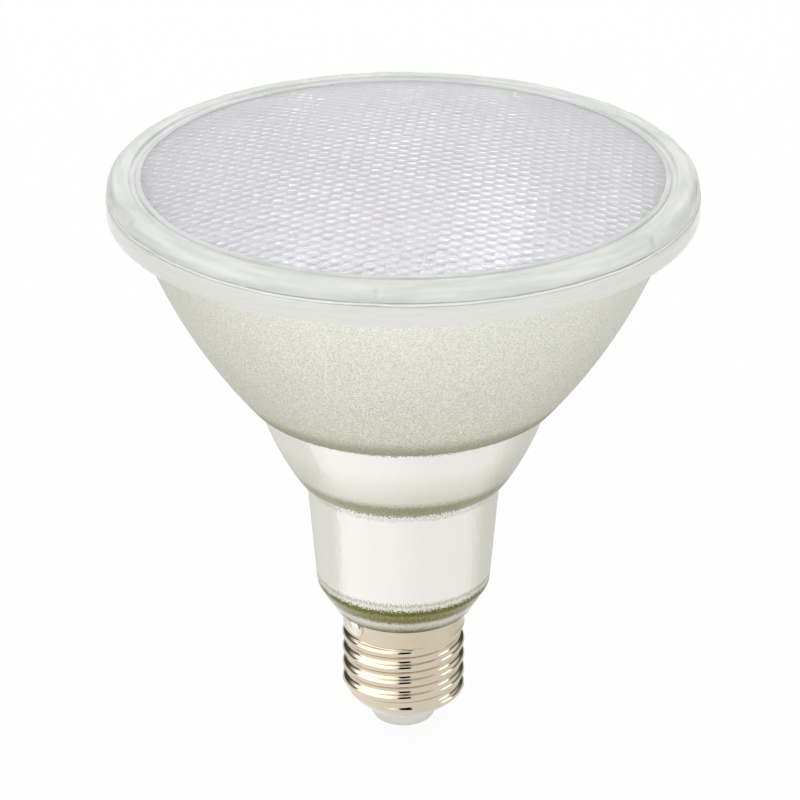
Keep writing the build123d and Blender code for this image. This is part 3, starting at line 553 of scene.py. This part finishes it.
def flowed_solder():
    """Solder drop on the collar: a ball of angles u and v, thin outwards, wide along the collar and tall.

    Its radius swells and sags by low waves, and it leans by moving each height along the collar."""
    center = (SOLDER_LOW + SOLDER_HIGH) / 2
    around = math.atan2(center[1], center[0]) - SOLDER_TURN
    out = np.array([math.cos(around), math.sin(around), 0])
    along = np.array([-out[1], out[0], 0])
    up = np.array([0, 0, 1])
    rounds, rows = 32, 22
    u = np.arange(rounds)[:, None, None] * TURN / rounds
    v = np.linspace(0, math.pi, rows)[None, :, None]
    swell = 0.95 + 0.05 * np.sin(2 * u + 0.5) * np.sin(v) ** 2 + 0.03 * np.cos(3 * u) * np.sin(v) ** 3
    rise = -np.cos(v) * swell
    spread = np.sin(v) * swell
    middle = COLLAR_R * out + (LIP_Z - SOLDER_DEPTH) * up
    sideways = SOLDER_ALONG * spread * np.sin(u) - SOLDER_LEAN * rise
    points = middle + SOLDER_OUT * spread * np.cos(u) * out + sideways * along + SOLDER_TALL * rise * up
    points, faces = closed_ball(points.reshape(-1, 3), rounds, rows)
    mesh_piece("flowed_solder", points, faces, "shell_solder", "solder", bright_solder())


# Finishes


class Nodes:
    """A node tree in the making: adds nodes, sets their inputs and links sockets given as values."""

    def __init__(self, tree):
        self.tree = tree

    def put(self, socket, value):
        """Link a socket given as the value, or set the value itself."""
        if isinstance(value, bpy.types.NodeSocket):
            self.tree.links.new(value, socket)
        else:
            socket.default_value = value

    def add(self, kind, inputs=None, **settings):
        """New node with its settings and its inputs by name or index."""
        node = self.tree.nodes.new(kind)
        for key, value in settings.items():
            setattr(node, key, value)
        for key, value in (inputs or {}).items():
            self.put(node.inputs[key], value)
        return node

    def math(self, operation, a, b=0.0):
        """One arithmetic step."""
        return self.add("ShaderNodeMath", {0: a, 1: b}, operation=operation).outputs[0]

    def times(self, first, *others):
        """Values multiplied in turn."""
        for value in others:
            first = self.math("MULTIPLY", first, value)
        return first

    def plus(self, a, b):
        """Two values added."""
        return self.math("ADD", a, b)

    def less(self, a, b):
        """The first value less the second."""
        return self.math("SUBTRACT", a, b)

    def vector(self, operation, *vectors):
        """One step of vector arithmetic."""
        return self.add("ShaderNodeVectorMath", dict(enumerate(vectors)), operation=operation).outputs[0]

    def scaled(self, vector, amount):
        """Vector or colour times an amount."""
        return self.add("ShaderNodeVectorMath", {0: vector, "Scale": amount}, operation="SCALE").outputs[0]

    def length(self, vector):
        """Length of a vector."""
        return self.add("ShaderNodeVectorMath", {0: vector}, operation="LENGTH").outputs["Value"]

    def axes(self, vector):
        """The three parts of a vector, by name."""
        return self.add("ShaderNodeSeparateXYZ", {"Vector": vector}).outputs

    def span(self, value, low, high, new_low, new_high, **settings):
        """Carry a value from one range to another, clamped."""
        inputs = {"Value": value, "From Min": low, "From Max": high, "To Min": new_low, "To Max": new_high}
        return self.add("ShaderNodeMapRange", inputs, **settings).outputs["Result"]


class Finish(Nodes):
    """A node material in the making, with its place in the object's own coordinates."""

    def __init__(self, name):
        self.material = bpy.data.materials.new(name)
        self.material.use_nodes = True
        super().__init__(self.material.node_tree)
        self.shader = self.tree.nodes["Principled BSDF"]
        self.place = self.add("ShaderNodeTexCoord").outputs["Object"]

    def surface(self, **inputs):
        """Inputs of the shader, with underscores for spaces."""
        for key, value in inputs.items():
            self.put(self.shader.inputs[key.replace("_", " ")], value)
        return self.material

    def noise(self, size_mm, detail=2.0, roughness=0.5, stretch=(1, 1, 1)):
        """Noise with cells of about this size in millimetres, stretched along the axes."""
        scale = self.add("ShaderNodeMapping", {"Vector": self.place, "Scale": stretch}).outputs["Vector"]
        inputs = {"Vector": scale, "Scale": 1 / (size_mm * MM), "Detail": detail, "Roughness": roughness}
        return self.add("ShaderNodeTexNoise", inputs).outputs["Fac"]

    def ring_noise(self, along_mm, across_mm, detail=3.0):
        """Noise drawn out round the axis: cells this long round the rim's circle and this wide across it."""
        level = self.vector("MULTIPLY", self.place, (1, 1, 0))
        around = self.scaled(self.vector("NORMALIZE", level), RIM_R / along_mm)
        across = self.less(self.length(level), self.axes(self.place)["Z"])
        across = self.times(across, 1 / (across_mm * MM))
        across = self.add("ShaderNodeCombineXYZ", {"Z": across}).outputs["Vector"]
        cell = self.vector("ADD", around, across)
        return self.add("ShaderNodeTexNoise", {"Vector": cell, "Scale": 1.0, "Detail": detail}).outputs["Fac"]

    def vary(self, noise, new_low, new_high):
        """Carry the usual range of a noise to another range, clamped."""
        return self.span(noise, NOISE_LOW, NOISE_HIGH, new_low, new_high)

    def height_mm(self, shake=None, reach=0.0):
        """Height above the foot in millimetres, shaken by a noise value through reach."""
        z = self.times(self.axes(self.place)["Z"], 1 / MM)
        if shake is None:
            return z
        return self.plus(z, self.vary(shake, -reach, reach))

    def blend(self, amount, low, high):
        """Colour between two colours by an amount."""
        inputs = {"Factor": amount, MIX_LOW: tone(low), MIX_HIGH: tone(high)}
        return self.add("ShaderNodeMix", inputs, data_type="RGBA").outputs[MIX_RESULT]

    def bands(self, value, low, high, stops):
        """Colour ramp along a value: stops are (value, colour) pairs between low and high."""
        ramp = self.add("ShaderNodeValToRGB", {"Fac": self.span(value, low, high, 0, 1)})
        while len(ramp.color_ramp.elements) < len(stops):
            ramp.color_ramp.elements.new(0.5)
        for element, (stop, colour) in zip(ramp.color_ramp.elements, stops):
            element.position = (stop - low) / (high - low)
            element.color = tone(colour)
        return ramp.outputs["Color"]

    def bump(self, value, depth_mm, strength, under=None):
        """Bump from a value that stands for a depth in millimetres, on the bump under it if there is one."""
        inputs = {"Height": value, "Distance": depth_mm * MM, "Strength": strength}
        if under is not None:
            inputs["Normal"] = under
        return self.add("ShaderNodeBump", inputs).outputs["Normal"]


def tone(colour):
    """Colour with an alpha, or a socket as it is."""
    if isinstance(colour, bpy.types.NodeSocket):
        return colour
    return (*colour, 1.0)


def frosted_bowl():
    """Etched bowl: cream-green with a fine sparkling grain, darker olive at its foot."""
    finish = Finish("frosted_bowl")
    grain = finish.noise(0.38, 2.0, 0.6)
    cloud = finish.noise(14.0, 3.0)
    z = finish.height_mm(finish.noise(0.4, 2.0), 0.7)
    base = finish.bands(z, BOWL_Z - 1, FLANGE_Z, [
        (BOWL_Z - 0.9, (0.26, 0.26, 0.165)),
        (BOWL_Z + 0.8, (0.29, 0.29, 0.19)),
        (BOWL_Z + 2.2, (0.35, 0.35, 0.25)),
        (BOWL_Z + 3.2, (0.46, 0.46, 0.36)),
        (BOWL_Z + 4.6, (0.57, 0.57, 0.47)),
        (BOWL_Z + 8.0, (0.61, 0.61, 0.52)),
        (FLANGE_Z - 1, (0.76, 0.76, 0.69)),
    ])
    fleck = finish.span(finish.noise(0.28, 2.0, 0.6), 0.58, 0.70, 0, 0.3)
    base = finish.blend(fleck, base, (0.70, 0.70, 0.62))
    dark_grain = finish.span(z, BOWL_Z + 6, FLANGE_Z - 2, 0.63, 0.77)
    light_grain = finish.span(z, BOWL_Z + 6, FLANGE_Z - 2, 1.28, 1.14)
    shade = finish.vary(grain, dark_grain, light_grain)
    tint = finish.blend(cloud, (0.97, 0.97, 0.97), (1.03, 1.03, 1.02))
    colour = finish.scaled(finish.vector("MULTIPLY", base, tint), shade)
    return finish.surface(
        Base_Color=colour, Metallic=0.25, Roughness=finish.vary(grain, 0.34, 0.50),
        Normal=finish.bump(grain, 0.10, 0.9),
    )


def silvered_neck():
    """Clear glass over the mirror coat: bright metal under a gloss coat, with olive bands where the glass is thick.
    The dark band at the lower step is partly painted shade, and a lighter line on the cone is a painted reflection of
    the shell.
    """
    finish = Finish("silvered_neck")
    grain = finish.noise(0.3, 2.0, 0.6)
    ripple = finish.noise(1.4, 3.0, 0.6, (1, 1, 0.5))
    z = finish.height_mm(finish.noise(0.3, 3.0), 0.65)
    silver = (0.955, 0.94, 0.905)
    base = finish.bands(z, LIP_Z - 0.5, BOWL_Z, [
        (LIP_Z - 0.4, (0.10, 0.08, 0.02)),
        (LIP_Z + 0.5, (0.12, 0.10, 0.03)),
        (LIP_Z + 1.2, (0.34, 0.33, 0.22)),
        (LIP_Z + 2.0, (0.60, 0.59, 0.49)),
        (LIP_Z + 3.0, (0.66, 0.65, 0.55)),
        (LIP_Z + 3.6, (0.19, 0.18, 0.04)),
        (LIP_Z + 4.7, (0.13, 0.12, 0.004)),
        # Painted reflection of the shell: the lighter line in the middle of the olive ring.
        (LIP_Z + 5.5, (0.25, 0.24, 0.06)),
        (LIP_Z + 6.2, (0.11, 0.10, 0.002)),
        (LIP_Z + 7.1, (0.16, 0.15, 0.02)),
        (LIP_Z + 7.5, (0.84, 0.82, 0.74)),
        (LIP_Z + 8.2, (0.84, 0.82, 0.74)),
        (LIP_Z + 8.6, (0.36, 0.35, 0.24)),
        (LIP_Z + 9.0, silver),
        (LOWER_STEP_Z - 2.0, silver),
        (LOWER_STEP_Z - 1.6, (0.66, 0.65, 0.60)),
        (LOWER_STEP_Z - 1.2, silver),
        (LOWER_STEP_Z - 0.9, silver),
        # Dark band at the lower step: partly the olive of the thick glass and partly painted shade in the step's
        # concave corner.
        (LOWER_STEP_Z - 0.7, (0.32, 0.31, 0.19)),
        (LOWER_STEP_Z + 1.5, (0.29, 0.275, 0.155)),
        (LOWER_STEP_Z + 2.8, (0.28, 0.27, 0.15)),
        (LOWER_STEP_Z + 3.4, (0.46, 0.45, 0.34)),
        (LOWER_STEP_Z + 4.6, (0.70, 0.70, 0.62)),
        (LOWER_STEP_Z + 7.0, (0.80, 0.79, 0.71)),
        (LOWER_STEP_Z + 13.0, silver),
        (UPPER_STEP_Z - 0.9, silver),
        (UPPER_STEP_Z - 0.4, (0.34, 0.33, 0.22)),
    ])
    fleck = finish.span(finish.noise(0.26, 2.0, 0.6), 0.58, 0.72, 0, 0.6)
    base = finish.blend(fleck, base, silver)
    return finish.surface(
        Base_Color=base, Metallic=0.9, Roughness=finish.vary(grain, 0.10, 0.26),
        Coat_Weight=0.25, Coat_Roughness=0.08,
        Normal=finish.bump(grain, 0.06, 0.5, finish.bump(ripple, 0.14, 0.9)),
    )


def flange_glass():
    """Thick pressed flange: smooth warm white with faint flow marks round it."""
    finish = Finish("flange_glass")
    flow = finish.ring_noise(16.0, 1.2)
    colour = finish.blend(flow, (0.62, 0.62, 0.58), (0.68, 0.68, 0.65))
    return finish.surface(
        Base_Color=colour, Roughness=finish.vary(flow, 0.20, 0.32), IOR=1.5,
        Sheen_Weight=0.7, Sheen_Roughness=0.4, Normal=finish.bump(flow, 0.03, 0.15),
    )


def mirror_coat():
    """Aluminium coat on the inside of the glass."""
    finish = Finish("mirror_coat")
    flow = finish.noise(4.0, 3.0)
    return finish.surface(
        Base_Color=finish.blend(flow, (0.90, 0.90, 0.91), (0.95, 0.95, 0.96)), Metallic=1.0,
        Roughness=finish.vary(flow, 0.03, 0.06), Normal=finish.bump(flow, 0.05, 0.3),
    )


def pebbled_glass():
    """Pressed lens glass: clear, a little milky, with a lavender cast."""
    finish = Finish("pebbled_glass")
    cloud = finish.noise(9.0, 3.0)
    return finish.surface(
        Base_Color=finish.blend(cloud, (0.93, 0.92, 0.95), (0.98, 0.97, 0.99)),
        Roughness=finish.vary(cloud, 0.01, 0.03), IOR=1.5, Transmission_Weight=0.74,
    )


def rim_glass():
    """Thick rim of the lens: glossy grey-white with a faint green cast, cloudy streaks round it and a greyer foot."""
    finish = Finish("rim_glass")
    cloud = finish.ring_noise(14.0, 2.0, 4.0)
    clear = finish.span(finish.height_mm(), LENS_Z + 0.8, LENS_Z + 1.9, 0.89, 1.0)
    colour = finish.blend(finish.span(cloud, 0.35, 0.65, 0, 1), (0.80, 0.825, 0.80), (0.965, 0.975, 0.955))
    return finish.surface(
        Base_Color=finish.scaled(colour, clear), IOR=1.5, Transmission_Weight=0.4,
        Roughness=finish.vary(cloud, 0.04, 0.14),
        Normal=finish.bump(cloud, 0.12, 0.3),
    )


def seam_adhesive():
    """Translucent adhesive in the seam, greyer than the glass."""
    finish = Finish("seam_adhesive")
    lump = finish.noise(1.5, 3.0)
    return finish.surface(
        Base_Color=finish.blend(lump, (0.69, 0.70, 0.67), (0.78, 0.78, 0.75)),
        Roughness=finish.vary(lump, 0.35, 0.6), Normal=finish.bump(lump, 0.08, 0.5),
    )


def nickel_plate():
    """Bright nickel with a warm cast and faint rolling marks round the shell."""
    finish = Finish("nickel_plate")
    roll = finish.noise(0.5, 3.0, 0.6, (0.25, 0.25, 3))
    cloud = finish.noise(5.0, 3.0)
    return finish.surface(
        Base_Color=finish.blend(cloud, (0.70, 0.60, 0.47), (0.77, 0.69, 0.56)), Metallic=1.0,
        Roughness=finish.vary(roll, 0.06, 0.10), Normal=finish.bump(roll, 0.01, 0.12),
    )


def bright_solder():
    """Solder: bright grey metal with soft flow marks."""
    finish = Finish("bright_solder")
    flow = finish.noise(0.9, 3.0)
    return finish.surface(
        Base_Color=finish.blend(flow, (0.86, 0.82, 0.72), (0.95, 0.92, 0.84)), Metallic=1.0,
        Roughness=finish.vary(flow, 0.12, 0.30), Normal=finish.bump(flow, 0.05, 0.4),
    )


def insulator_white():
    """White moulding with a fine matt grain."""
    finish = Finish("insulator_white")
    grain = finish.noise(0.4, 2.0)
    cloud = finish.noise(4.0, 2.0)
    colour = (0.74, 0.74, 0.69)
    darker = tuple(0.94 * channel for channel in colour)
    return finish.surface(
        Base_Color=finish.blend(cloud, darker, colour), Roughness=finish.vary(grain, 0.32, 0.46),
        Normal=finish.bump(grain, 0.02, 0.3),
    )


def plain_finish(name, colour, metallic, roughness, grain_mm):
    """Finish of a piece inside the lamp: its colour with a cloud and a grain of its own size."""
    finish = Finish(name)
    grain = finish.noise(grain_mm, 3.0)
    darker = tuple(0.86 * channel for channel in colour)
    return finish.surface(
        Base_Color=finish.blend(grain, darker, colour), Metallic=metallic,
        Roughness=finish.vary(grain, 0.85 * roughness, min(1.0, 1.15 * roughness)),
        Normal=finish.bump(grain, 0.03, 0.35),
    )


# Pieces that keep their CAD shape: finish, colour, metallic, roughness and size of the grain in millimetres
CARRIED_OVER = {
    "center_contact": ("contact_metal", (0.72, 0.60, 0.36), 1.0, 0.25, 0.8),
    "cap_cement": ("cap_cement", (0.62, 0.56, 0.46), 0.0, 0.85, 0.5),
    "live_lead": ("lead_brown", (0.20, 0.10, 0.05), 0.0, 0.5, 0.6),
    "neutral_lead": ("lead_blue", (0.06, 0.14, 0.36), 0.0, 0.5, 0.6),
    "heat_spreader": ("spun_aluminium", (0.80, 0.80, 0.81), 1.0, 0.28, 0.7),
    "led_board": ("board_white", (0.86, 0.86, 0.84), 0.0, 0.4, 0.9),
    "led_chips": ("phosphor", (0.90, 0.85, 0.60), 0.0, 0.35, 0.4),
    "board_screws": ("screw_steel", (0.66, 0.66, 0.66), 1.0, 0.25, 0.5),
    "led_lead_positive": ("lead_red", (0.48, 0.05, 0.04), 0.0, 0.5, 0.6),
    "led_lead_negative": ("lead_black", (0.04, 0.04, 0.04), 0.0, 0.5, 0.6),
    "driver_housing": ("housing_plastic", (0.80, 0.79, 0.75), 0.0, 0.45, 0.5),
    "driver_board": ("board_green", (0.06, 0.22, 0.09), 0.0, 0.4, 0.6),
    "bulk_capacitor": ("can_sleeve", (0.05, 0.055, 0.07), 0.0, 0.3, 0.6),
    "input_capacitor": ("film_yellow", (0.66, 0.45, 0.05), 0.0, 0.35, 0.5),
    "inductor_core": ("ferrite", (0.08, 0.08, 0.085), 0.0, 0.6, 0.5),
    "inductor_winding": ("enamelled_copper", (0.50, 0.20, 0.08), 1.0, 0.3, 0.3),
    "varistor": ("varistor_blue", (0.05, 0.16, 0.42), 0.0, 0.4, 0.5),
    "fuse_resistor": ("resistor_body", (0.48, 0.38, 0.24), 0.0, 0.6, 0.4),
    "bridge_rectifier": ("package_black_large", (0.04, 0.04, 0.04), 0.0, 0.5, 0.4),
    "driver_chip": ("package_black", (0.04, 0.04, 0.04), 0.0, 0.5, 0.3),
}


def dress_carried_over():
    """Give every CAD node that stays its own finish."""
    for node, finish in CARRIED_OVER.items():
        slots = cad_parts[node].data.materials
        slots.clear()
        slots.append(plain_finish(*finish))


# Studio

# Floor in metres with the share of it that shows white, and the surround's level in gloss and on matt surfaces
FLOOR_HALF = 4.0
FLOOR_Z = -0.00005
FLOOR_SHOWN = 0.94
GLOSS_LEVEL = 0.85
MATT_LEVEL = 0.45

# Place, aim, width and height in metres, and power in watts
SOFT_BOXES = {
    "over_left": ((-0.80, 0.10, 1.20), (0, 0, 0.12), (0.7, 0.7), 7.6),
    "over_right": ((0.80, 0.10, 1.20), (0, 0, 0.12), (0.7, 0.7), 6.2),
    "back_box": ((0.0, 0.85, 1.17), (0, 0, 0.13), (0.6, 0.28), 3.2),
    "back_fill": ((0, 1.1, 0.13), (0, 0, 0.07), (0.9, 0.22), 4.0),
    "front_fill": ((0, -1.1, 0.13), (0, 0, 0.07), (0.9, 0.22), 5.9),
}


def studio_floor():
    """Plain pale floor: it takes shadows, and the camera sees it near white.

    Gloss and glass see painted shade on it: darker towards the right and the back, and darkest in a painted shadow
    close behind the cap."""
    corners = [(x * FLOOR_HALF, y * FLOOR_HALF, FLOOR_Z) for x, y in ((-1, -1), (1, -1), (1, 1), (-1, 1))]
    mesh = bpy.data.meshes.new("studio_floor")
    mesh.from_pydata(corners, [], [(0, 1, 2, 3)])
    floor = placed("studio_floor", mesh)
    finish = Finish("floor_paper")
    path = finish.add("ShaderNodeLightPath").outputs
    shiny = finish.math("MAXIMUM", path["Is Glossy Ray"], path["Is Transmission Ray"])
    seen = finish.math("MAXIMUM", path["Is Camera Ray"], shiny)
    reach = finish.length(finish.place)
    way = finish.axes(finish.vector("NORMALIZE", finish.place))
    x, y = way["X"], way["Y"]
    # Painted shade of the lamp on the floor, seen only in gloss and glass: darker behind it on the left and on the
    # right, and a little darker across to the right.
    on_right = finish.span(x, -0.05, 0.05, 0, 1)
    left_back_painted_shade = finish.times(finish.less(1.0, on_right), finish.span(y, -0.20, -0.10, 0, 0.27))
    right_back_painted_shade = finish.times(
        on_right, finish.span(y, -0.12, 0.35, 0, 0.25), finish.span(reach, 0.12, 0.17, 1, 0.35))
    back = finish.times(finish.plus(left_back_painted_shade, right_back_painted_shade), finish.span(reach, 0.045, 0.065, 0, 1))
    across = finish.span(x, -0.95, 0.5, 0, 0.15)
    dark = finish.times(finish.plus(across, back), shiny, 1.3)
    # Painted shadow of the cap on the floor, seen only in gloss and glass: a dark patch close behind it.
    near = finish.times(finish.span(reach, 0.026, 0.034, 0.7, 0), finish.span(y, 0.45, 0.60, 0, 1), shiny)
    # White with the painted shade and the painted shadow blended in.
    pale = finish.blend(dark, (1, 1, 1), (0.23, 0.24, 0.13))
    matt = finish.add("ShaderNodeBsdfDiffuse", {"Color": (0.79, 0.79, 0.78, 1)}).outputs[0]
    white = finish.add("ShaderNodeEmission", {"Color": pale, "Strength": finish.less(1.0, near)}).outputs[0]
    shown = finish.times(seen, FLOOR_SHOWN)
    mixed = finish.add("ShaderNodeMixShader", {0: shown, 1: matt, 2: white}).outputs[0]
    finish.put(finish.tree.nodes["Material Output"].inputs["Surface"], mixed)
    finish.tree.nodes.remove(finish.shader)
    mesh.materials.append(finish.material)


def studio_world():
    """Soft surround: white to the camera, even and dimmer on matt surfaces.

    Gloss sees a bright card on each side, dark flanks behind them, a slightly dim back and a dark gap in front.
    What passes through glass sees it brighter to the back and the left."""
    world = bpy.data.worlds.new("studio_world")
    bpy.context.scene.world = world
    world.use_nodes = True
    nodes = Nodes(world.node_tree)

    def soft(value, low, high, new_low, new_high):
        """Carry a value from one range to another with soft ends."""
        return nodes.span(value, low, high, new_low, new_high, interpolation_type="SMOOTHSTEP")

    ray = nodes.add("ShaderNodeTexCoord").outputs["Generated"]
    height = nodes.axes(ray)["Z"]
    way = nodes.axes(nodes.vector("NORMALIZE", nodes.vector("MULTIPLY", ray, (1, 1, 0))))
    x, y = way["X"], way["Y"]
    sideways = nodes.math("ABSOLUTE", x)
    gap = nodes.times(soft(sideways, 0.24, 0.16, 0, 1), soft(y, -0.2, -0.5, 0, 1), soft(height, 0.76, 0.62, 0, 1))
    flanks = nodes.times(
        soft(sideways, 0.35, 0.50, 0, 1), soft(y, 0.0, 0.20, 0, 0.90), soft(height, 0.60, 0.40, 0, 1))
    left_card = nodes.times(soft(x, -0.15, -0.55, 0, 0.95), soft(y, 0.65, 0.50, 0, 1))
    right_card = nodes.times(
        soft(x, 0.20, 0.40, 0, 1.3), soft(y, 0.75, 0.60, 0, 1), soft(y, -0.40, -0.20, 0, 1),
        soft(height, 0.55, 0.35, 0, 1))
    backdrop = nodes.times(soft(y, 0.45, 0.95, 0, 0.20), soft(height, 0.40, 0.05, 0, 1))
    lit = nodes.less(nodes.plus(GLOSS_LEVEL, nodes.plus(left_card, right_card)), backdrop)
    mirrored = nodes.times(lit, nodes.less(1.0, nodes.math("MAXIMUM", gap, flanks)))
    through = nodes.plus(soft(y, -0.7, 0.7, 0.98, 1.45), soft(x, -0.4, -0.8, 0, 0.40))
    path = nodes.add("ShaderNodeLightPath").outputs
    through = nodes.times(path["Is Transmission Ray"], through)
    matt = nodes.times(path["Is Diffuse Ray"], MATT_LEVEL)
    turned = nodes.plus(matt, nodes.times(path["Is Glossy Ray"], mirrored))
    turned = nodes.times(nodes.less(1.0, path["Is Transmission Ray"]), turned)
    level = nodes.plus(path["Is Camera Ray"], nodes.plus(through, turned))
    background = nodes.tree.nodes["Background"]
    nodes.put(background.inputs["Color"], (1, 1, 1, 1))
    nodes.put(background.inputs["Strength"], level)


def soft_box(name, place, aim, size, power):
    """Area lamp, size wide and high, at a place and turned to a point; it doesn't show in gloss."""
    lamp = bpy.data.lights.new(name, "AREA")
    lamp.shape = "RECTANGLE"
    lamp.size, lamp.size_y = size
    lamp.energy = power
    holder = placed(name, lamp)
    holder.location = place
    holder.visible_glossy = False
    away = np.array(place) - np.array(aim)
    flat = math.hypot(away[0], away[1])
    holder.rotation_euler = (math.atan2(flat, away[2]), 0, math.atan2(away[0], -away[1]))


def studio_camera():
    """Camera at the photograph's angle: 25.2 degrees above the floor, 780 mm from the middle of the lamp."""
    elevation = math.radians(25.2)
    distance = 0.780
    target_z = 0.0758
    camera = bpy.data.cameras.new("studio_camera")
    camera.sensor_width = 36.0
    camera.lens = 167.9
    camera.shift_x = -0.00425
    camera.clip_start = 0.01
    holder = placed("studio_camera", camera)
    holder.location = (0, -distance * math.cos(elevation), target_z + distance * math.sin(elevation))
    holder.rotation_euler = (math.pi / 2 - elevation, 0, 0)
    bpy.context.scene.camera = holder


reflector_glass()
pebbled_window()
lens_rim()
seam_bead()
rolled_shell()
insulator_foot()
flowed_solder()
dress_carried_over()

studio_floor()
studio_world()
for box_name, box in SOFT_BOXES.items():
    soft_box(box_name, *box)
studio_camera()

scene = bpy.context.scene
scene.view_settings.view_transform = "Standard"
